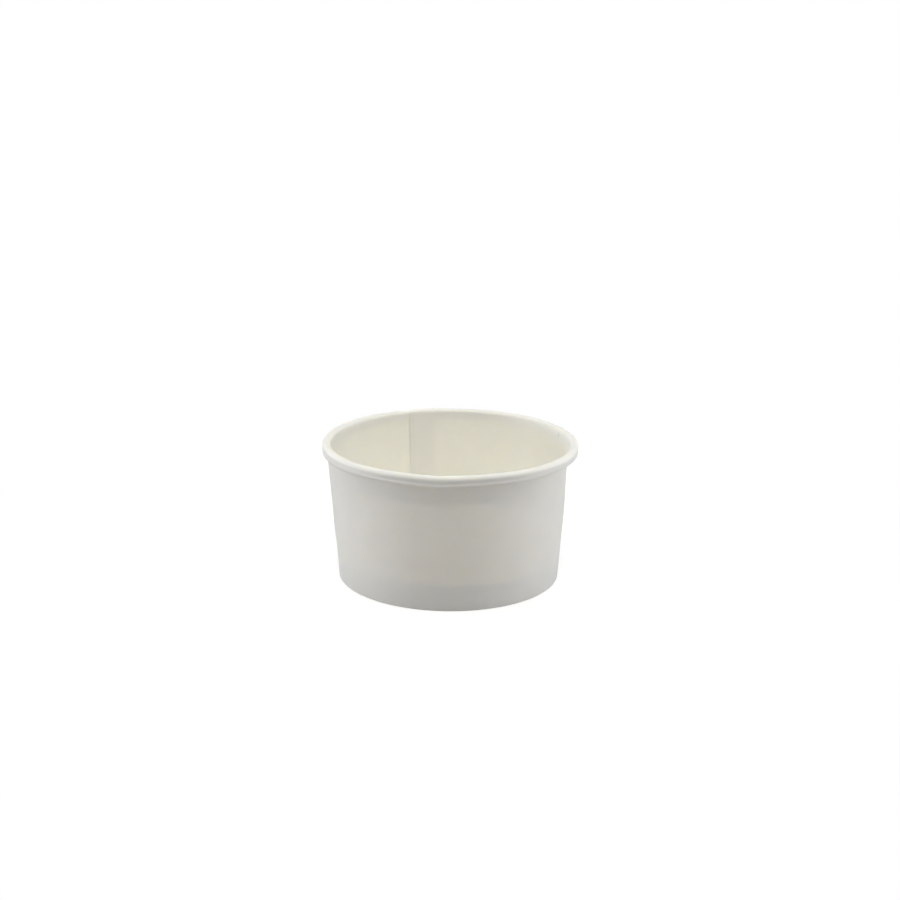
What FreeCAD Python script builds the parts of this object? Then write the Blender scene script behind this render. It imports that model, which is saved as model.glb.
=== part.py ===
"""Paper sundae cup, in millimetres, standing on z = 0 with its axis on Z.

It is made of two blanks of coated paper board, as the real cup is. The side wall is one fan-shaped
blank, wrapped into a cone so that one end laps over the other, rolled outwards at the rim, and folded
in and up at the foot. The base is a disc whose edge is drawn down into a skirt, and the foot's fold
holds that skirt.
"""
import FreeCAD, Part
import math
import os

# Overall sizes
rim_diameter = 87.0      # across the rolled rim
foot_diameter = 75.9     # across the outer face of the wall, carried straight down to the table
cup_height = 47.6        # from the table to the top of the rim

# Boards
wall_board = 0.36        # thickness of the side wall's board
base_board = 0.30        # thickness of the base's board
seal_film = 0.02         # melted coating between two boards that are sealed together

# Rolled rim
roll_width = 2.7         # across the roll's section
roll_height = 3.75       # from the top of the roll to its underside
roll_tail = 0.8          # straight end of the board, back up inside the roll
tail_gap = 0.05          # between that end and the wall, where the wall is double

# Lap of the side seam
lap_width = 8.8          # how far the ends of the blank lie over each other, under the rim
lap_azimuth = 104.4      # middle of the lap round the cup, in degrees from +X towards +Y
lap_climb = 2.0          # length over which the outer end climbs onto the inner end, under the rim
lap_foot = 1.2           # from the table to where the outer end is cut away above the foot's fold

# Base and foot
floor_height = 9.2       # from the table to the top of the base disc
skirt_room = 0.05        # between the skirt and the bottom of the fold that holds it
tuck_room = 0.6          # between the wall's turned-up edge and the underside of the base disc

ORIGIN = FreeCAD.Vector(0, 0, 0)
AXIS = FreeCAD.Vector(0, 0, 1)
FULL_TURN = 360.0

rim_radius = rim_diameter / 2
foot_radius = foot_diameter / 2


def point(r, z):
    """A point of a section, which is drawn in the XZ plane."""
    return FreeCAD.Vector(r, 0, z)


def line(start, end):
    return Part.LineSegment(start, end).toShape()


def bend(centre, radius, start, end):
    """An arc between two angles in degrees, measured from +X towards +Z."""
    def on_circle(degrees):
        angle = math.radians(degrees)
        return centre + point(radius * math.cos(angle), radius * math.sin(angle))
    return Part.Arc(on_circle(start), on_circle((start + end) / 2), on_circle(end)).toShape()


# The roll's top bend touches the outside of the rim and the top of the cup. The wall runs straight
# from the foot's edge until it touches that bend, and this gives the wall its taper.
top_bend = roll_width / 2
top_centre = point(rim_radius - top_bend, cup_height - top_bend)
foot_edge = point(foot_radius, 0)
reach = top_centre - foot_edge
taper = math.atan2(reach.x, reach.z) - math.asin((top_bend - wall_board) / reach.Length)
taper_degrees = math.degrees(taper)
along = point(math.sin(taper), math.cos(taper))
outwards = point(math.cos(taper), -math.sin(taper))

# The roll's bottom bend touches the outside of the rim and the roll's underside. The board's end
# comes back up beside the wall, just clear of it where the wall is double.
tail_clearance = wall_board + tail_gap
roll_underside = cup_height - roll_height
across_roll = (rim_radius - foot_radius) * math.cos(taper) - roll_underside * math.sin(taper)
bottom_bend = (across_roll - tail_clearance) / (1 + math.cos(taper) + math.sin(taper))
bottom_centre = point(rim_radius - bottom_bend, roll_underside + bottom_bend)


def on_wall(depth, height):
    """The point at a height and at a depth, which is measured outwards from the wall's inner face."""
    start = foot_edge + outwards * (depth - wall_board)
    return start + along * ((height - start.z) / math.cos(taper))


# The foot's fold is creased at its two inside corners. Between them it is flat and stands on the table.
fold_width = base_board + 2 * seal_film
outer_crease = on_wall(0, wall_board)
inner_crease = on_wall(-fold_width, wall_board)

# The wall's turned-up edge ends just below the base disc.
base_underside = floor_height - base_board
tuck_end = on_wall(-fold_width, base_underside - tuck_room)

# The lap keeps the same width in degrees all the way down, because the blank is a fan.
radius_under_rim = on_wall(wall_board, roll_underside).x
lap_degrees = math.degrees(lap_width / radius_under_rim)
climb_degrees = math.degrees(lap_climb / radius_under_rim)
outer_end = lap_azimuth - lap_degrees / 2
inner_end = lap_azimuth + lap_degrees / 2
climb_start = inner_end + climb_degrees


def fold_inside():
    """The foot's fold on its inner side, from its turned-up edge to the cut above the fold."""
    corners = [tuck_end, inner_crease, outer_crease, on_wall(0, lap_foot)]
    return [line(start, end) for start, end in zip(corners, corners[1:])]


def fold_outside():
    """The same on its outer side, which bends round both creases."""
    through_board = outwards * wall_board
    below = point(0, -wall_board)
    return [
        line(tuck_end - through_board, inner_crease - through_board),
        bend(inner_crease, wall_board, 180 - taper_degrees, 270),
        line(inner_crease + below, outer_crease + below),
        bend(outer_crease, wall_board, -90, -taper_degrees),
        line(outer_crease + through_board, on_wall(wall_board, lap_foot)),
    ]


def rim_line(depth):
    """The wall and its roll at a depth in the board, from the cut above the fold to the roll's end."""
    top_radius = top_bend - depth
    bottom_radius = bottom_bend - depth
    wall_top = top_centre - outwards * top_radius
    flank_top = top_centre + point(top_radius, 0)
    flank_foot = bottom_centre + point(bottom_radius, 0)
    tail_foot = bottom_centre - outwards * bottom_radius
    return [
        line(on_wall(depth, lap_foot), wall_top),
        bend(top_centre, top_radius, 180 - taper_degrees, 0),
        line(flank_top, flank_foot),
        bend(bottom_centre, bottom_radius, 0, -180 - taper_degrees),
        line(tail_foot, tail_foot + along * roll_tail),
    ]


def section(one_face, other_face):
    """The closed outline between two faces of the board, which run the same way."""
    ends = [
        line(one_face[0].firstVertex().Point, other_face[0].firstVertex().Point),
        line(one_face[-1].lastVertex().Point, other_face[-1].lastVertex().Point),
    ]
    return Part.Wire(Part.__sortEdges__(one_face + other_face + ends))


def turned(shape, azimuth):
    """A copy of a shape, turned about the cup's axis."""
    copy = shape.copy()
    copy.rotate(ORIGIN, AXIS, azimuth)
    return copy


def swept(outline, start, degrees):
    """The solid that a section makes when it is carried round the cup."""
    return turned(Part.Face(outline), start).revolve(ORIGIN, AXIS, degrees)


def side_wall():
    """The wrapped blank, single round most of the cup and double at the lap."""
    fold = swept(section(fold_inside(), fold_outside()), climb_start, FULL_TURN)
    single = section(rim_line(0), rim_line(wall_board))
    double = section(rim_line(0), rim_line(2 * wall_board))
    outer_layer = section(rim_line(wall_board), rim_line(2 * wall_board))
    sheet = swept(single, climb_start, FULL_TURN - climb_degrees - lap_degrees)
    lap = swept(double, outer_end, lap_degrees)
    climb = Part.makeLoft([turned(outer_layer, inner_end), turned(single, climb_start)], True, True)
    return fold.fuse([sheet, lap, climb]).removeSplitter()


def base_disc():
    """The disc with its skirt, creased underneath, and as steep as the wall that it is sealed to."""
    crease = on_wall(-seal_film - base_board, base_underside)
    skirt_end = wall_board + skirt_room
    outer_foot = on_wall(-seal_film, skirt_end)
    inner_foot = on_wall(-seal_film - base_board, skirt_end)
    outline = Part.Wire([
        line(point(0, floor_height), crease + point(0, base_board)),
        bend(crease, base_board, 90, -taper_degrees),
        line(crease + outwards * base_board, outer_foot),
        line(outer_foot, inner_foot),
        line(inner_foot, crease),
        line(crease, point(0, base_underside)),
        line(point(0, base_underside), point(0, floor_height)),
    ])
    return swept(outline, 0, FULL_TURN)


os.makedirs("parts", exist_ok=True)
pieces = {"side_wall": side_wall(), "base_disc": base_disc()}
for name, shape in pieces.items():
    shape.exportStep("parts/" + name + ".step")
    print(name, "valid", shape.isValid(), "solids", len(shape.Solids), "volume", round(shape.Volume, 1))
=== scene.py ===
import math

import bmesh
import bpy
from mathutils import Matrix, Vector


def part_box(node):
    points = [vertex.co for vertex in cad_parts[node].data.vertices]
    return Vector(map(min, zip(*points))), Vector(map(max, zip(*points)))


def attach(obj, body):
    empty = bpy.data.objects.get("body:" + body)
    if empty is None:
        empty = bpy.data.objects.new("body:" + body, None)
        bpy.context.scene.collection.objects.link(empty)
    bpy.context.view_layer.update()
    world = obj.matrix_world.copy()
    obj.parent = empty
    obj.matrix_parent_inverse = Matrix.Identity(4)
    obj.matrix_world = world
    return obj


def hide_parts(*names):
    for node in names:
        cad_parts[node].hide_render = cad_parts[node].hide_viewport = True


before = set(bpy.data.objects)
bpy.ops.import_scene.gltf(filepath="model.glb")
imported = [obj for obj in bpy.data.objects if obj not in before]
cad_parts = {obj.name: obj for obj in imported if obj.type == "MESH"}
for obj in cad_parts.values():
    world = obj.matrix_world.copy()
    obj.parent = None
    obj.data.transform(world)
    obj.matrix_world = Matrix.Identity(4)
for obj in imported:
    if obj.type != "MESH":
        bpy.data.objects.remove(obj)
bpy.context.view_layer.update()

MM = 0.001

# The cup's overall sizes, read from the model
RIM_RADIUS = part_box("side_wall")[1].x
CUP_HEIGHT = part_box("side_wall")[1].z
FLOOR_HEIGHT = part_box("base_disc")[1].z

# Boards, roll and fold, with the model's sizes
WALL_BOARD = 0.36 * MM
BASE_BOARD = 0.30 * MM
SEAL_FILM = 0.02 * MM
FOOT_RADIUS = 37.95 * MM
ROLL_WIDTH = 2.7 * MM
ROLL_HEIGHT = 3.75 * MM
ROLL_TAIL = 0.8 * MM
TAIL_GAP = 0.05 * MM
LAP_FOOT = 1.2 * MM
SKIRT_ROOM = 0.05 * MM
TUCK_ROOM = 0.6 * MM

# Columns of the wrapped board: one full turn, the lap, the climb onto it, and the pressed inner end
TURN_COLUMNS = 644
LAP_COLUMNS = 22
CLIMB_COLUMNS = 12
PRESSED_COLUMNS = 5
FULL_TURN = 2 * math.pi
COLUMN = FULL_TURN / TURN_COLUMNS
INNER_END = math.radians(110.55)    # where the blank's inner end lies round the cup

# Steps along the wall, the roll's flank, each of its bends, the turned-up edge, each crease and the base
WALL_STEPS = 21
FLANK_STEPS = 7
BEND_STEPS = 15
TUCK_STEPS = 4
CREASE_STEPS = 6
BASE_RINGS = 12
BASE_COLUMNS = 256

MERGE_DISTANCE = 0.002 * MM
SHARP_ANGLE = math.radians(40)

# The camera, as the photograph was taken. Its small tilt, turn and roll are in radians.
CAMERA_PLACE = Vector((0, -522.6, 194.42)) * MM
CAMERA_TARGET = Vector((0, 0, 23.0)) * MM
CAMERA_TILT = 0.0365
CAMERA_TURN = -0.0003
CAMERA_ROLL = -0.0095
FOCAL_PIXELS = 1592.5
IMAGE_PIXELS = 900
SENSOR_WIDTH = 36.0


class Nodes:
    """Adds nodes to a tree. An input may be a plain value or another node's socket."""

    def __init__(self, tree):
        self.tree = tree

    def feed(self, socket, value):
        if isinstance(value, bpy.types.NodeSocket):
            self.tree.links.new(value, socket)
        else:
            socket.default_value = value

    def add(self, kind, inputs=None, **settings):
        node = self.tree.nodes.new(kind)
        for name, value in settings.items():
            setattr(node, name, value)
        for name, value in (inputs or {}).items():
            self.feed(node.inputs[name], value)
        return node

    def math(self, operation, *values):
        node = self.add("ShaderNodeMath", operation=operation)
        for socket, value in zip(node.inputs, values):
            self.feed(socket, value)
        return node.outputs[0]

    def vector(self, operation, *values):
        node = self.add("ShaderNodeVectorMath", operation=operation)
        for socket, value in zip(node.inputs, values):
            self.feed(socket, value)
        return node.outputs[0]

    def scaled(self, vector, factor):
        return self.add(
            "ShaderNodeVectorMath", {0: vector, "Scale": factor}, operation="SCALE"
        ).outputs[0]

    def ramp(self, value, low, high, to_low=0.0, to_high=1.0):
        """The value carried smoothly from low..high to to_low..to_high, and held beyond them."""
        return self.add(
            "ShaderNodeMapRange",
            {"Value": value, "From Min": low, "From Max": high, "To Min": to_low, "To Max": to_high},
            interpolation_type="SMOOTHSTEP",
        ).outputs["Result"]

    def bell(self, away, width):
        """1 where away is 0, falling off on both sides."""
        share = self.math("DIVIDE", away, width)
        return self.math("EXPONENT", self.math("MULTIPLY", self.math("MULTIPLY", share, share), -0.5))

    def named(self, name, kind="FLOAT"):
        """An attribute of the geometry."""
        node = self.add("GeometryNodeInputNamedAttribute", {"Name": name}, data_type=kind)
        return node.outputs["Attribute"]


def polar(radius, angle):
    """A vector in the plane, from its length and its angle."""
    return Vector((math.cos(angle), math.sin(angle))) * radius


def profile_places():
    """The taper, and the centres and radii of the roll's two bends, as r and z."""
    top_bend = ROLL_WIDTH / 2
    top_centre = Vector((RIM_RADIUS - top_bend, CUP_HEIGHT - top_bend))
    reach = top_centre - Vector((FOOT_RADIUS, 0))
    taper = math.atan2(reach.x, reach.y) - math.asin((top_bend - WALL_BOARD) / reach.length)
    underside = CUP_HEIGHT - ROLL_HEIGHT
    across = (RIM_RADIUS - FOOT_RADIUS) * math.cos(taper) - underside * math.sin(taper)
    bottom_bend = (across - WALL_BOARD - TAIL_GAP) / (1 + math.cos(taper) + math.sin(taper))
    bottom_centre = Vector((RIM_RADIUS - bottom_bend, underside + bottom_bend))
    return taper, top_bend, top_centre, bottom_bend, bottom_centre


TAPER, TOP_BEND, TOP_CENTRE, BOTTOM_BEND, BOTTOM_CENTRE = profile_places()
ALONG = Vector((math.sin(TAPER), math.cos(TAPER)))
OUT = Vector((math.cos(TAPER), -math.sin(TAPER)))


def on_wall(depth, height):
    """The point at a height and at a depth outwards from the wall's inner face, as r and z."""
    start = Vector((FOOT_RADIUS, 0)) + OUT * (depth - WALL_BOARD)
    return start + ALONG * ((height - start.y) / math.cos(TAPER))


def straight(start, end, steps, outward):
    """Places on a straight line, each with the direction through the board."""
    return [(start.lerp(end, i / steps), outward) for i in range(steps + 1)]


def fold_run():
    """The foot's fold: places on the board's inner face, each with the direction through the board."""
    fold_width = BASE_BOARD + 2 * SEAL_FILM
    tuck_end = on_wall(-fold_width, FLOOR_HEIGHT - BASE_BOARD - TUCK_ROOM)
    inner_crease = on_wall(-fold_width, WALL_BOARD)
    outer_crease = on_wall(0, WALL_BOARD)
    run = straight(tuck_end, inner_crease, TUCK_STEPS, -OUT)[:-1]
    bends = ((inner_crease, math.pi - TAPER, 1.5 * math.pi), (outer_crease, -0.5 * math.pi, -TAPER))
    for crease, start, end in bends:
        for i in range(CREASE_STEPS + 1):
            run.append((crease, polar(1, start + (end - start) * i / CREASE_STEPS)))
    return run + [(on_wall(0, LAP_FOOT), OUT)]


def rim_run():
    """The wall and its roll, from the cut above the fold to the board's end inside the roll."""
    wall_top = TOP_CENTRE - OUT * TOP_BEND
    tail_foot = BOTTOM_CENTRE - OUT * BOTTOM_BEND
    run = straight(on_wall(0, LAP_FOOT), wall_top, WALL_STEPS, OUT)[:-1]
    for i in range(BEND_STEPS + 1):
        round_bend = polar(1, (math.pi - TAPER) * (1 - i / BEND_STEPS))
        run.append((TOP_CENTRE + round_bend * TOP_BEND, -round_bend))
    flank_top = TOP_CENTRE + Vector((TOP_BEND, 0))
    flank_foot = BOTTOM_CENTRE + Vector((BOTTOM_BEND, 0))
    run += straight(flank_top, flank_foot, FLANK_STEPS, Vector((-1, 0)))[1:-1]
    for i in range(BEND_STEPS + 1):
        round_bend = polar(1, -(math.pi + TAPER) * i / BEND_STEPS)
        run.append((BOTTOM_CENTRE + round_bend * BOTTOM_BEND, -round_bend))
    return run + [(tail_foot + ALONG * ROLL_TAIL, OUT)]


def board_section():
    """Two closed outlines, of the fold and of the wall, with what the wrap needs at each point."""
    facts = []
    edges = []
    travelled = 0.0
    for in_fold, run in ((1, fold_run()), (0, rim_run())):
        reach = [travelled]
        for (place, _), (previous, _) in zip(run[1:], run):
            reach.append(reach[-1] + (place - previous).length)
        travelled = reach[-1]
        first = len(facts)
        for i, (place, outward) in enumerate(run):
            if i == 0 or place != run[i - 1][0]:
                facts.append((place, outward, 0, reach[i], in_fold))
        for i in reversed(range(len(run))):
            facts.append((run[i][0], run[i][1], 1, reach[i], in_fold))
        ring = range(first, len(facts))
        edges += list(zip(ring, list(ring[1:]) + [first]))
    mesh = bpy.data.meshes.new("board_section")
    mesh.from_pydata([(place.x, 0, place.y) for place, *_ in facts], edges, [])
    columns = (
        ("place", "FLOAT_VECTOR", "vector", [c for fact in facts for c in (fact[0].x, 0, fact[0].y)]),
        ("outward", "FLOAT_VECTOR", "vector", [c for fact in facts for c in (fact[1].x, 0, fact[1].y)]),
        ("side", "FLOAT", "value", [fact[2] for fact in facts]),
        ("along", "FLOAT", "value", [fact[3] for fact in facts]),
        ("fold", "FLOAT", "value", [fact[4] for fact in facts]),
    )
    for name, kind, field, values in columns:
        mesh.attributes.new(name, kind, "POINT").data.foreach_set(field, values)
    return mesh


# How far along the board, from its turned-up edge, the cut above the fold and the roll's flank lie
CUT_ALONG = sum((b[0] - a[0]).length for a, b in zip(fold_run(), fold_run()[1:]))
WALL_LENGTH = (TOP_CENTRE - OUT * TOP_BEND - on_wall(0, LAP_FOOT)).length
FLANK_ALONG = CUT_ALONG + WALL_LENGTH + TOP_BEND * (math.pi - TAPER)

# Where the real rim is bent: azimuth and width in degrees, then how far out and up in millimetres
RIM_KINKS = (
    (266, 6, 0.35, -0.10),
    (87, 6, 0.25, -0.12),
)

# Where the underside of the roll hangs lower or higher: azimuth, width, and how far up
ROLL_SAGS = (
    (195, 22, -0.45),
    (243, 6, 0.18),
    (262, 6.5, -0.25),
    (287, 9, 0.22),
)

# Between which radii and heights the small bends fade in: outwards over the roll, upwards from the wall to
# the rim, upwards for the kinks, over the roll's underside, upwards from the base that holds the wall, and
# from one wall shift to the other
ACROSS_ROLL = (RIM_RADIUS - 1.9 * MM, RIM_RADIUS - 0.1 * MM)
UP_TO_RIM = (CUP_HEIGHT - 4.6 * MM, CUP_HEIGHT - 1.4 * MM)
NEAR_RIM = (CUP_HEIGHT - 12 * MM, CUP_HEIGHT - 2 * MM)
UNDER_ROLL = (CUP_HEIGHT - 3.6 * MM, CUP_HEIGHT - 1.2 * MM)
CLEAR_OF_BASE = (FLOOR_HEIGHT + 0.3 * MM, FLOOR_HEIGHT + 8 * MM)
UPPER_WALL = (22 * MM, 42 * MM)

# The wall's bulge, and the groove in the roll, which runs out where the azimuth's sine passes these values
BULGE_HEIGHT = 21 * MM
BULGE_REACH = 9 * MM
GROOVE_HEIGHT = CUP_HEIGHT - 2.4 * MM
GROOVE_REACH = 0.45 * MM
GROOVE_ROUND = (-0.96, -0.72)

# Where along the board the pressing of the inner end starts, and how near to the cut a point counts as on it
PRESSED_ABOVE = CUT_ALONG + 0.5 * MM
AT_CUT = 0.01 * MM

WRAP_INPUTS = (
    ("Turn columns", "NodeSocketInt", TURN_COLUMNS),
    ("Lap columns", "NodeSocketInt", LAP_COLUMNS),
    ("Climb columns", "NodeSocketInt", CLIMB_COLUMNS),
    ("Inner end", "NodeSocketFloat", INNER_END),
    ("Board", "NodeSocketFloat", WALL_BOARD),
    ("Seal film", "NodeSocketFloat", SEAL_FILM),
    ("Pressed edge", "NodeSocketFloat", 0.22 * MM),
    ("Rim shift", "NodeSocketFloat", 0.27 * MM),
    ("Wall shift", "NodeSocketFloat", -0.18 * MM),
    ("Wall shift under rim", "NodeSocketFloat", -0.66 * MM),
    ("Bulge", "NodeSocketFloat", 0.2 * MM),
    ("Groove", "NodeSocketFloat", 0.27 * MM),
    ("Inner face", "NodeSocketMaterial", None),
    ("Outer face", "NodeSocketMaterial", None),
    ("Cut edge", "NodeSocketMaterial", None),
)


def new_geometry_tree(name, inputs):
    """An empty geometry tree with named inputs, and those inputs' identifiers."""
    tree = bpy.data.node_groups.new(name, "GeometryNodeTree")
    tree.interface.new_socket("Geometry", in_out="INPUT", socket_type="NodeSocketGeometry")
    tree.interface.new_socket("Geometry", in_out="OUTPUT", socket_type="NodeSocketGeometry")
    identifiers = {}
    for label, kind, _ in inputs:
        identifiers[label] = tree.interface.new_socket(label, in_out="INPUT", socket_type=kind).identifier
    return tree, identifiers


def swept(nodes, section, columns, start, sweep, capped):
    """Sweeps a section along a plain line, which is bent round the cup later.

    Each point keeps as "turned" how far round it will lie.
    """
    profile = nodes.add("GeometryNodeMeshToCurve", {"Mesh": section}).outputs["Curve"]
    path = nodes.add("GeometryNodeCurvePrimitiveLine", {"End": (0, 1, 0)}).outputs["Curve"]
    path = nodes.add("GeometryNodeResampleCurve", {"Curve": path, "Count": columns}).outputs["Curve"]
    share = nodes.add("GeometryNodeSplineParameter").outputs["Factor"]
    turned = nodes.math("ADD", start, nodes.math("MULTIPLY", share, sweep))
    path = nodes.add(
        "GeometryNodeStoreNamedAttribute", {"Geometry": path, "Name": "turned", "Value": turned},
        data_type="FLOAT", domain="POINT",
    ).outputs["Geometry"]
    return nodes.add(
        "GeometryNodeCurveToMesh", {"Curve": path, "Profile Curve": profile, "Fill Caps": capped}
    ).outputs["Mesh"]


def wrap_tree():
    """Wraps the section round the cup as one sheet: round once, up a small climb, and over its own end."""
    tree, identifiers = new_geometry_tree("wrapped_board", WRAP_INPUTS)
    nodes = Nodes(tree)
    given = nodes.add("NodeGroupInput").outputs
    column = nodes.math("DIVIDE", FULL_TURN, given["Turn columns"])
    lap = nodes.math("MULTIPLY", column, given["Lap columns"])
    climb = nodes.math("MULTIPLY", column, given["Climb columns"])
    parts = nodes.add(
        "GeometryNodeSeparateGeometry",
        {"Geometry": given["Geometry"], "Selection": nodes.math("GREATER_THAN", nodes.named("fold"), 0.5)},
    ).outputs
    wall_columns = nodes.math("ADD", nodes.math("ADD", given["Turn columns"], given["Lap columns"]), 1)
    fold_columns = nodes.math("ADD", given["Turn columns"], 1)
    wall = swept(nodes, parts["Inverted"], wall_columns, 0.0, nodes.math("ADD", lap, FULL_TURN), True)
    fold_start = nodes.math("MULTIPLY", climb, -1)
    fold = swept(nodes, parts["Selection"], fold_columns, fold_start, FULL_TURN, False)
    join = nodes.add("GeometryNodeJoinGeometry")
    tree.links.new(wall, join.inputs[0])
    tree.links.new(fold, join.inputs[0])

    # The azimuth falls from the inner end. On the last turn the sheet climbs onto its own end.
    turned = nodes.named("turned")
    azimuth = nodes.math("SUBTRACT", given["Inner end"], turned)
    climb_start = nodes.math("SUBTRACT", FULL_TURN, climb)
    climbed = nodes.ramp(turned, climb_start, FULL_TURN)
    layer = nodes.math("MULTIPLY", climbed, nodes.math("ADD", given["Board"], given["Seal film"]))
    depth = nodes.math("ADD", layer, nodes.math("MULTIPLY", nodes.named("side"), given["Board"]))
    # The seal presses the inner end's raw edge thinner
    pressed = nodes.ramp(turned, 0.0, PRESSED_COLUMNS * COLUMN, given["Pressed edge"], 0.0)
    pressed = nodes.math("MULTIPLY", pressed, nodes.math("SUBTRACT", 1, nodes.named("side")))
    above_fold = nodes.math("GREATER_THAN", nodes.named("along"), PRESSED_ABOVE)
    depth = nodes.math("ADD", depth, nodes.math("MULTIPLY", pressed, above_fold))
    flat = nodes.vector(
        "ADD", nodes.named("place", "FLOAT_VECTOR"),
        nodes.scaled(nodes.named("outward", "FLOAT_VECTOR"), depth),
    )
    split = nodes.add("ShaderNodeSeparateXYZ", {0: flat}).outputs
    radius, height = split["X"], split["Z"]

    # The real cup's rim sits a little to one side of its body, and its wall bulges a little
    across_roll = nodes.ramp(radius, *ACROSS_ROLL)
    up_to_rim = nodes.ramp(height, *UP_TO_RIM)
    near_rim = nodes.ramp(height, *NEAR_RIM)
    clear_of_base = nodes.ramp(height, *CLEAR_OF_BASE)
    wall_shift = nodes.ramp(height, *UPPER_WALL, given["Wall shift"], given["Wall shift under rim"])
    wall_shift = nodes.math("MULTIPLY", wall_shift, clear_of_base)
    shift = nodes.add(
        "ShaderNodeMix",
        {"Factor": nodes.math("MAXIMUM", across_roll, up_to_rim), "A": wall_shift, "B": given["Rim shift"]},
        data_type="FLOAT",
    ).outputs[0]
    shift = nodes.math("MULTIPLY", shift, nodes.math("ABSOLUTE", nodes.math("COSINE", azimuth)))
    bulge = nodes.bell(nodes.math("SUBTRACT", height, BULGE_HEIGHT), BULGE_REACH)
    bulge = nodes.math("MULTIPLY", bulge, clear_of_base)
    under_roll = nodes.math("MULTIPLY", across_roll, nodes.ramp(height, *UNDER_ROLL, 1.0, 0.0))
    radius = nodes.math("ADD", radius, nodes.math("MULTIPLY", bulge, given["Bulge"]))
    # In front, the roll's outer side is pressed in a little between its two bends
    in_front = nodes.ramp(nodes.math("SINE", azimuth), *GROOVE_ROUND, 1.0, 0.0)
    groove = nodes.bell(nodes.math("SUBTRACT", height, GROOVE_HEIGHT), GROOVE_REACH)
    groove = nodes.math("MULTIPLY", nodes.math("MULTIPLY", groove, in_front), across_roll)
    radius = nodes.math("SUBTRACT", radius, nodes.math("MULTIPLY", groove, given["Groove"]))

    def bent_at(degrees, width):
        away = nodes.math("WRAP", nodes.math("SUBTRACT", azimuth, math.radians(degrees)), math.pi, -math.pi)
        return nodes.bell(away, math.radians(width))

    for degrees, width, outwards, upwards in RIM_KINKS:
        bent = nodes.math("MULTIPLY", bent_at(degrees, width), near_rim)
        radius = nodes.math("ADD", radius, nodes.math("MULTIPLY", bent, outwards * MM))
        height = nodes.math("ADD", height, nodes.math("MULTIPLY", bent, upwards * MM))
    for degrees, width, upwards in ROLL_SAGS:
        bent = nodes.math("MULTIPLY", bent_at(degrees, width), under_roll)
        height = nodes.math("ADD", height, nodes.math("MULTIPLY", bent, upwards * MM))
    place = nodes.add(
        "ShaderNodeCombineXYZ",
        {
            "X": nodes.math("ADD", nodes.math("MULTIPLY", radius, nodes.math("COSINE", azimuth)), shift),
            "Y": nodes.math("MULTIPLY", radius, nodes.math("SINE", azimuth)),
            "Z": height,
        },
    ).outputs[0]

    # The board's own coordinates, round the cup and along the section, for the materials
    unrolled = nodes.add(
        "ShaderNodeCombineXYZ",
        {"X": nodes.math("MULTIPLY", turned, RIM_RADIUS), "Y": nodes.named("along")},
    ).outputs[0]
    board = nodes.add(
        "GeometryNodeStoreNamedAttribute",
        {"Geometry": join.outputs[0], "Name": "board", "Value": unrolled},
        data_type="FLOAT2", domain="CORNER",
    ).outputs["Geometry"]
    moved = nodes.add("GeometryNodeSetPosition", {"Geometry": board, "Position": place}).outputs[0]

    # The fold and the wall meet in a strip inside the board, which is taken out before they are joined
    geometry = moved
    facts = (
        ("face_side", nodes.named("side")),
        ("face_turned", turned),
        ("face_at_cut", nodes.math("COMPARE", nodes.named("along"), CUT_ALONG, AT_CUT)),
    )
    for name, value in facts:
        geometry = nodes.add(
            "GeometryNodeStoreNamedAttribute", {"Geometry": geometry, "Name": name, "Value": value},
            data_type="FLOAT", domain="FACE",
        ).outputs["Geometry"]
    small = 1e-4
    whole = nodes.math("GREATER_THAN", nodes.named("face_at_cut"), 1 - small)
    after = nodes.math("GREATER_THAN", nodes.named("face_turned"), small)
    before = nodes.math("LESS_THAN", nodes.named("face_turned"), climb_start)
    strip = nodes.math("MULTIPLY", whole, nodes.math("MULTIPLY", after, before))
    geometry = nodes.add(
        "GeometryNodeDeleteGeometry", {"Geometry": geometry, "Selection": strip}, domain="FACE"
    ).outputs[0]
    geometry = nodes.add(
        "GeometryNodeMergeByDistance", {"Geometry": geometry, "Distance": MERGE_DISTANCE}
    ).outputs[0]
    geometry = nodes.add("GeometryNodeRealizeInstances", {"Geometry": geometry}).outputs[0]
    # A face that runs from one side of the board to the other is a cut edge
    side = nodes.named("face_side")
    choices = (
        ("Cut edge", nodes.math("COMPARE", side, 0.5, 0.4)),
        ("Inner face", nodes.math("LESS_THAN", side, small)),
        ("Outer face", nodes.math("GREATER_THAN", side, 1 - small)),
    )
    for label, chosen in choices:
        geometry = nodes.add(
            "GeometryNodeSetMaterial", {"Geometry": geometry, "Selection": chosen, "Material": given[label]}
        ).outputs[0]
    output = nodes.add("NodeGroupOutput")
    tree.links.new(geometry, output.inputs[0])
    return tree, identifiers


def wrapped_side_wall(inner_face, outer_face, cut_edge):
    """The side wall as a plain mesh, made by the wrap."""
    tree, identifiers = wrap_tree()
    source = bpy.data.objects.new("side_wall_section", board_section())
    bpy.context.scene.collection.objects.link(source)
    wrap = source.modifiers.new("wrap", "NODES")
    values = {label: default for label, _, default in WRAP_INPUTS}
    values.update({"Inner face": inner_face, "Outer face": outer_face, "Cut edge": cut_edge})
    wrap.node_group = tree
    for label, value in values.items():
        wrap[identifiers[label]] = value
    source.update_tag()
    bpy.context.view_layer.update()
    evaluated = source.evaluated_get(bpy.context.evaluated_depsgraph_get())
    mesh = bpy.data.meshes.new_from_object(evaluated)
    bpy.data.objects.remove(source)
    mesh.name = "wrapped_side_wall"
    return mesh


def faced_outwards(mesh):
    """Turns every face of a closed mesh outwards."""
    work = bmesh.new()
    work.from_mesh(mesh)
    bmesh.ops.recalc_face_normals(work, faces=work.faces)
    if work.calc_volume(signed=True) < 0:
        bmesh.ops.reverse_faces(work, faces=work.faces)
    work.to_mesh(mesh)
    work.free()


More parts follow.
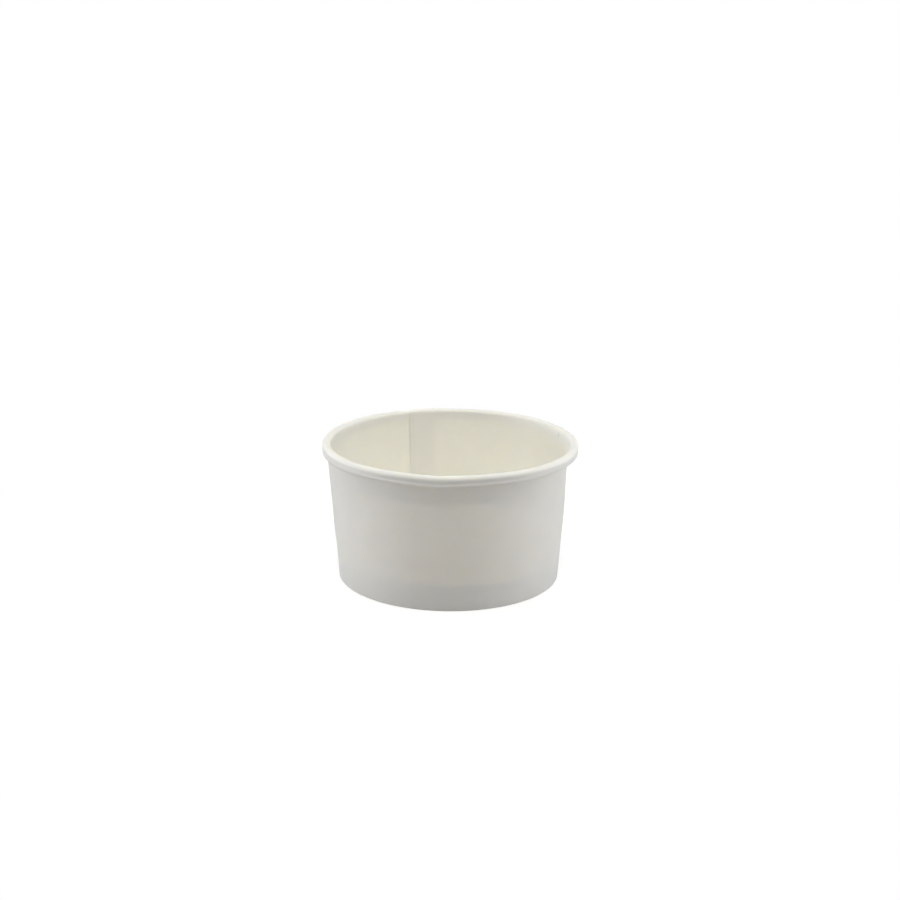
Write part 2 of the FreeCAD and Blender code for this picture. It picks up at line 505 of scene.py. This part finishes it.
def lathe(name, outline, columns):
    """A closed mesh turned from an outline that starts and ends on the axis."""
    work = bmesh.new()
    first = work.verts.new((0, 0, outline[0].y))
    last = work.verts.new((0, 0, outline[-1].y))
    rings = []
    for place in outline[1:-1]:
        ring = []
        for i in range(columns):
            across = polar(place.x, FULL_TURN * i / columns)
            ring.append(work.verts.new((across.x, across.y, place.y)))
        rings.append(ring)
    for i in range(columns):
        after = (i + 1) % columns
        work.faces.new((first, rings[0][i], rings[0][after]))
        work.faces.new((last, rings[-1][after], rings[-1][i]))
        for upper, lower in zip(rings, rings[1:]):
            work.faces.new((upper[i], lower[i], lower[after], upper[after]))
    mesh = bpy.data.meshes.new(name)
    work.to_mesh(mesh)
    work.free()
    return mesh


def base_disc_mesh():
    """The base: a disc whose edge is drawn down into a skirt."""
    underside = FLOOR_HEIGHT - BASE_BOARD
    crease = on_wall(-SEAL_FILM - BASE_BOARD, underside)
    skirt_end = WALL_BOARD + SKIRT_ROOM
    outline = [Vector((crease.x * i / BASE_RINGS, FLOOR_HEIGHT)) for i in range(BASE_RINGS)]
    for i in range(CREASE_STEPS + 1):
        angle = math.pi / 2 - (math.pi / 2 + TAPER) * i / CREASE_STEPS
        outline.append(crease + polar(BASE_BOARD, angle))
    outline.append(on_wall(-SEAL_FILM, skirt_end))
    outline.append(on_wall(-SEAL_FILM - BASE_BOARD, skirt_end))
    outline += [Vector((crease.x * i / BASE_RINGS, underside)) for i in range(BASE_RINGS, -1, -1)]
    return lathe("base_disc_board", outline, BASE_COLUMNS)


def piece(name, mesh):
    """A piece of the cup that rides on its one body."""
    thing = bpy.data.objects.new(name, mesh)
    bpy.context.scene.collection.objects.link(thing)
    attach(thing, "root")
    return thing


def new_material(name):
    material = bpy.data.materials.new(name)
    material.use_nodes = True
    material.node_tree.nodes.clear()
    return material, Nodes(material.node_tree)


# Coated board: the roughness of its faces, how many fibres and faint clouds there are to a metre, how the
# fibres stand out, how much darker the clouds are, and how far light of each colour spreads in it
SATIN = 0.42
BASE_SATIN = 0.5
RAW = 0.8
FIBRE_SCALE = 900.0
CLOUD_SCALE = 160.0
FIBRE_STRENGTH = 0.1
FIBRE_HEIGHT = 0.03 * MM
CLOUD_SHADE = 0.985
CLOUD_EDGES = (0.3, 0.7)
COATING_IOR = 1.45
LIGHT_SPREAD = 0.42 * MM
LIGHT_SPREAD_BY_COLOUR = (1.0, 0.93, 0.8)

INNER_WHITE = (0.915, 0.90, 0.845, 1)
OUTER_WHITE = (0.80, 0.79, 0.765, 1)
CUT_WHITE = (0.90, 0.88, 0.83, 1)
BASE_WHITE = (0.90, 0.885, 0.84, 1)

# Painted shade on the roll's outer side, as a greyer colour: its colour, its share, and where along the
# board it fades in
ROLL_SHADE_COLOUR = (0.79, 0.775, 0.75, 1)
ROLL_SHADE_SHARE = 0.65
ROLL_SHADE_ALONG = (FLANK_ALONG - 1.3 * MM, FLANK_ALONG + 0.2 * MM)

# A small scuff inside the rim: its place, its reach, its colour and share, and its core and edge
NICK_PLACE = Vector((38.2, 14.6, 45.0)) * MM
NICK_REACH = Vector((0.5, 0.9, 2.2)) * MM
NICK_BROWN = (0.52, 0.44, 0.33, 1)
NICK_SHARE = 0.36
NICK_FADE = (0.2, 1.0)

# How softly the lap's look ends, at the outer end's soft line and at the raw edge inside
LAP_BLUR = 0.6 * MM
EDGE_BLUR = 0.3 * MM


def board_place(nodes, axis):
    """Where a point lies on the board: X round the cup, Y along the section."""
    place = nodes.add("ShaderNodeUVMap", uv_map="board").outputs["UV"]
    return nodes.add("ShaderNodeSeparateXYZ", {0: place}).outputs[axis]


def mixed(nodes, share, first, second):
    """Two colours mixed by a share."""
    return nodes.add(
        "ShaderNodeMix", {"Factor": share, "A": first, "B": second}, data_type="RGBA"
    ).outputs[2]


def single_board(nodes):
    """1 where the side wall's board is single, and 0 on both layers of the lap."""
    across = board_place(nodes, "X")
    lap = LAP_COLUMNS * COLUMN * RIM_RADIUS
    turn = FULL_TURN * RIM_RADIUS
    past_lap = nodes.ramp(across, lap - LAP_BLUR, lap + LAP_BLUR)
    return nodes.math("MULTIPLY", past_lap, nodes.ramp(across, turn - EDGE_BLUR, turn, 1.0, 0.0))


def board_material(name, colour, roughness, nick_and_roll_shade=False, lapped=False):
    """Coated paper board, which lets a little light through, but not where it is lapped."""
    material, nodes = new_material(name)
    where = nodes.add("ShaderNodeTexCoord").outputs["Object"]
    fibres = nodes.add(
        "ShaderNodeTexNoise", {"Vector": where, "Scale": FIBRE_SCALE, "Detail": 4.0, "Roughness": 0.6}
    ).outputs["Fac"]
    clouds = nodes.add(
        "ShaderNodeTexNoise", {"Vector": where, "Scale": CLOUD_SCALE, "Detail": 3.0, "Roughness": 0.5}
    ).outputs["Fac"]
    bump = nodes.add(
        "ShaderNodeBump", {"Strength": FIBRE_STRENGTH, "Distance": FIBRE_HEIGHT, "Height": fibres}
    ).outputs["Normal"]
    shaded = tuple(CLOUD_SHADE * part for part in colour[:3]) + (1,)
    tint = mixed(nodes, nodes.ramp(clouds, *CLOUD_EDGES), shaded, colour)
    # The nick is a real scuff; the roll's outer side gets painted shade
    if nick_and_roll_shade:
        tint = nick_mark(nodes, where, painted_roll_shade(nodes, tint))
    surface = nodes.add(
        "ShaderNodeBsdfPrincipled",
        {
            "Base Color": tint,
            "Roughness": roughness,
            "Normal": bump,
            "IOR": COATING_IOR,
            "Subsurface Weight": single_board(nodes) if lapped else 1.0,
            "Subsurface Radius": LIGHT_SPREAD_BY_COLOUR,
            "Subsurface Scale": LIGHT_SPREAD,
        },
    )
    nodes.add("ShaderNodeOutputMaterial", {"Surface": surface.outputs[0]})
    return material


def painted_roll_shade(nodes, tint):
    """Painted shade on the outer side of the roll, as a greyer colour than the inside of the cup."""
    roll_shade = nodes.ramp(board_place(nodes, "Y"), *ROLL_SHADE_ALONG, 0.0, ROLL_SHADE_SHARE)
    return mixed(nodes, roll_shade, tint, ROLL_SHADE_COLOUR)


def nick_mark(nodes, where, tint):
    """A small brownish scuff where the rim was nicked."""
    away = nodes.vector("DIVIDE", nodes.vector("SUBTRACT", where, NICK_PLACE), NICK_REACH)
    length = nodes.add("ShaderNodeVectorMath", {0: away}, operation="LENGTH").outputs["Value"]
    return mixed(nodes, nodes.ramp(length, *NICK_FADE, NICK_SHARE, 0.0), tint, NICK_BROWN)


# The table: its own shade, the white that only the camera sees on it near the cup, and the distances
# between which that becomes plain white
TABLE_SHADE = (0.5, 0.5, 0.5, 1)
TABLE_GLOW = 0.62
TABLE_FADE = (0.06, 0.2)
TABLE_RADIUS = 5.0
TABLE_TOP = -0.02 * MM

# The light from all round, and the white behind the cup
FILL_COLOUR = (0.95, 0.96, 1.0, 1)
FILL_STRENGTH = 0.32


def table_material():
    """A pale table. Near the cup the camera sees its shadow, and further off only white."""
    material, nodes = new_material("white_table")
    seen = nodes.add("ShaderNodeLightPath").outputs["Is Camera Ray"]
    where = nodes.add("ShaderNodeTexCoord").outputs["Object"]
    away = nodes.add("ShaderNodeVectorMath", {0: where}, operation="LENGTH").outputs["Value"]
    diffuse = nodes.add("ShaderNodeBsdfDiffuse", {"Color": TABLE_SHADE})
    glow = nodes.add("ShaderNodeEmission", {"Strength": nodes.math("MULTIPLY", seen, TABLE_GLOW)})
    near = nodes.add("ShaderNodeAddShader", {0: diffuse.outputs[0], 1: glow.outputs[0]})
    white = nodes.add("ShaderNodeEmission", {"Strength": 1.0})
    far = nodes.math("MULTIPLY", seen, nodes.ramp(away, *TABLE_FADE))
    both = nodes.add("ShaderNodeMixShader", {0: far, 1: near.outputs[0], 2: white.outputs[0]})
    nodes.add("ShaderNodeOutputMaterial", {"Surface": both.outputs[0]})
    return material


def add_table():
    mesh = bpy.data.meshes.new("table")
    work = bmesh.new()
    bmesh.ops.create_circle(work, cap_ends=True, radius=TABLE_RADIUS, segments=96)
    bmesh.ops.translate(work, verts=work.verts, vec=(0, 0, TABLE_TOP))
    work.to_mesh(mesh)
    work.free()
    mesh.materials.append(table_material())
    table = bpy.data.objects.new("table", mesh)
    bpy.context.scene.collection.objects.link(table)


def add_world():
    """A soft light from all round, and plain white behind the cup."""
    world = bpy.data.worlds.new("studio")
    bpy.context.scene.world = world
    world.use_nodes = True
    world.node_tree.nodes.clear()
    nodes = Nodes(world.node_tree)
    seen = nodes.add("ShaderNodeLightPath").outputs["Is Camera Ray"]
    fill = nodes.add("ShaderNodeBackground", {"Color": FILL_COLOUR, "Strength": FILL_STRENGTH})
    white = nodes.add("ShaderNodeBackground", {"Color": (1, 1, 1, 1), "Strength": 1.0})
    mix = nodes.add("ShaderNodeMixShader", {0: seen, 1: fill.outputs[0], 2: white.outputs[0]})
    nodes.add("ShaderNodeOutputWorld", {"Surface": mix.outputs[0]})


# Soft lights: place, width, height, watts and colour. Each faces the cup.
SOFTBOXES = {
    "left_side": ((-1.25, 0.0, 0.07), 1.0, 0.12, 4.3, (0.96, 0.98, 1.0)),
    "right_side": ((1.25, 0.0, 0.07), 1.0, 0.12, 4.35, (0.96, 0.98, 1.0)),
    "left_above": ((-1.05, -0.1, 1.0), 0.7, 0.7, 2.6, (0.94, 0.96, 1.0)),
    "right_above": ((1.05, -0.1, 1.0), 0.7, 0.7, 2.3, (0.94, 0.96, 1.0)),
    "left_behind": ((-1.1, 0.6, 0.07), 0.8, 0.12, 2.4, (0.96, 0.98, 1.0)),
    "right_behind": ((1.1, 0.6, 0.07), 0.8, 0.12, 2.4, (0.96, 0.98, 1.0)),
    "key": ((0.0, -0.6, 1.4), 0.3, 0.07, 5.0, (1.0, 0.95, 0.78)),
    "front": ((0.0, -0.95, 1.2), 0.9, 0.7, 0.4, (1.0, 0.97, 0.9)),
    "above": ((0.0, 0.0, 1.5), 0.9, 0.9, 5.4, (1.0, 0.98, 0.92)),
    "back": ((0.0, 0.95, 1.2), 0.9, 0.7, 2.7, (1.0, 0.99, 0.9)),
}


def add_softboxes():
    for name, (place, width, height, watts, colour) in SOFTBOXES.items():
        data = bpy.data.lights.new(name, "AREA")
        data.shape = "RECTANGLE"
        data.size, data.size_y = width, height
        data.energy = watts
        data.color = colour
        light = bpy.data.objects.new(name, data)
        light.location = place
        light.rotation_euler = (-Vector(place)).to_track_quat("-Z", "Y").to_euler()
        light.visible_camera = False
        bpy.context.scene.collection.objects.link(light)


def add_camera():
    """The photograph's camera, with its small turn, tilt and roll."""
    forward = (CAMERA_TARGET - CAMERA_PLACE).normalized()
    right = Vector((1, 0, 0))
    up = right.cross(forward)
    tilt = Matrix.Rotation(CAMERA_TILT, 3, right)
    forward, up = tilt @ forward, tilt @ up
    turn = Matrix.Rotation(CAMERA_TURN, 3, up)
    forward, right = turn @ forward, turn @ right
    roll = Matrix.Rotation(CAMERA_ROLL, 3, forward)
    right, up = roll @ right, roll @ up
    data = bpy.data.cameras.new("camera")
    data.sensor_width = SENSOR_WIDTH
    data.lens = FOCAL_PIXELS * SENSOR_WIDTH / IMAGE_PIXELS
    camera = bpy.data.objects.new("camera", data)
    turned = Matrix((right, up, -forward)).transposed()
    camera.matrix_world = Matrix.Translation(CAMERA_PLACE) @ turned.to_4x4()
    bpy.context.scene.collection.objects.link(camera)
    bpy.context.scene.camera = camera


add_camera()
inner_face = board_material("wall_inner_face", INNER_WHITE, SATIN, nick_and_roll_shade=True, lapped=True)
outer_face = board_material("wall_outer_face", OUTER_WHITE, SATIN, lapped=True)
cut_edge = board_material("wall_cut_edge", CUT_WHITE, RAW)
base_face = board_material("base_face", BASE_WHITE, BASE_SATIN)

side_wall = piece("cup_side_wall", wrapped_side_wall(inner_face, outer_face, cut_edge))
faced_outwards(side_wall.data)
side_wall.data.set_sharp_from_angle(angle=SHARP_ANGLE)
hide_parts("side_wall")

base_disc = piece("cup_base_disc", base_disc_mesh())
faced_outwards(base_disc.data)
base_disc.data.materials.append(base_face)
for polygon in base_disc.data.polygons:
    polygon.use_smooth = True
base_disc.data.set_sharp_from_angle(angle=SHARP_ANGLE)
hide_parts("base_disc")

add_table()
add_world()
add_softboxes()
bpy.context.scene.view_settings.view_transform = "Standard"
